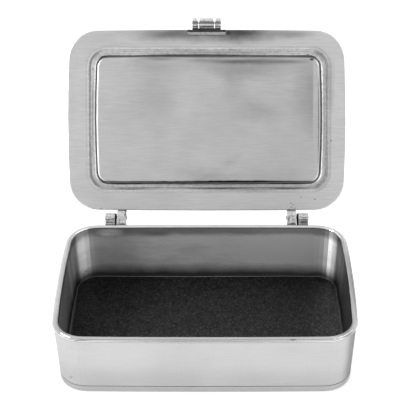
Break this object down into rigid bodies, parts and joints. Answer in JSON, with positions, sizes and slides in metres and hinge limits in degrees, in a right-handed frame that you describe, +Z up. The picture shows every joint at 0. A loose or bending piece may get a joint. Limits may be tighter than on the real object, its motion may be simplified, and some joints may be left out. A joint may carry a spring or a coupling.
{
  "type": "lidded box",
  "caption": "Low pewter keepsake box with rounded corners, a moulded rim, a leather-lined floor and a hinged framed lid with a swinging latch tongue, shown open.",
  "frame": {"origin": "middle of the base plate's flat underside, where the box stands", "axes": "+Z up, +X to the right as the latch is faced, +Y towards the lid's hinges at the back"},
  "size_m": [0.1502, 0.1575, 0.1282],
  "materials": {
    "pewter_base": "satin pewter",
    "pewter_wall": "polished pewter, softly worn",
    "pewter_rim": "polished pewter",
    "black_leather": "fine-grained black leather",
    "pewter_lid": "satin pewter",
    "pewter_panel": "satin pewter",
    "pewter_fittings": "polished pewter",
    "pin_metal": "drawn wire"
  },
  "bodies": {
    "box": {"base_plate": "pewter_base", "body_wall": "pewter_wall", "body_rim": "pewter_rim", "floor_leather": "black_leather", "box_knuckle_left": "pewter_fittings", "box_knuckle_right": "pewter_fittings", "hinge_pin_left": "pin_metal", "hinge_pin_right": "pin_metal"},
    "lid": {"lid_frame": "pewter_lid", "lid_panel": "pewter_panel", "lid_knuckle_left": "pewter_fittings", "lid_knuckle_right": "pewter_fittings", "latch_plate": "pewter_fittings", "latch_pin": "pin_metal"},
    "tongue": {"latch_tongue": "pewter_fittings"}
  },
  "joints": [
    {"name": "lid_hinge", "type": "hinge", "parent": "box", "child": "lid", "pos_m": [0, 0.0523, 0.03615], "axis": [1, 0, 0], "range_deg": [0, 121]},
    {"name": "latch_hinge", "type": "hinge", "parent": "lid", "child": "tongue", "pos_m": [0, 0.10612, 0.12572], "axis": [1, 0, 0], "range_deg": [-3, 264.4]}
  ]
}
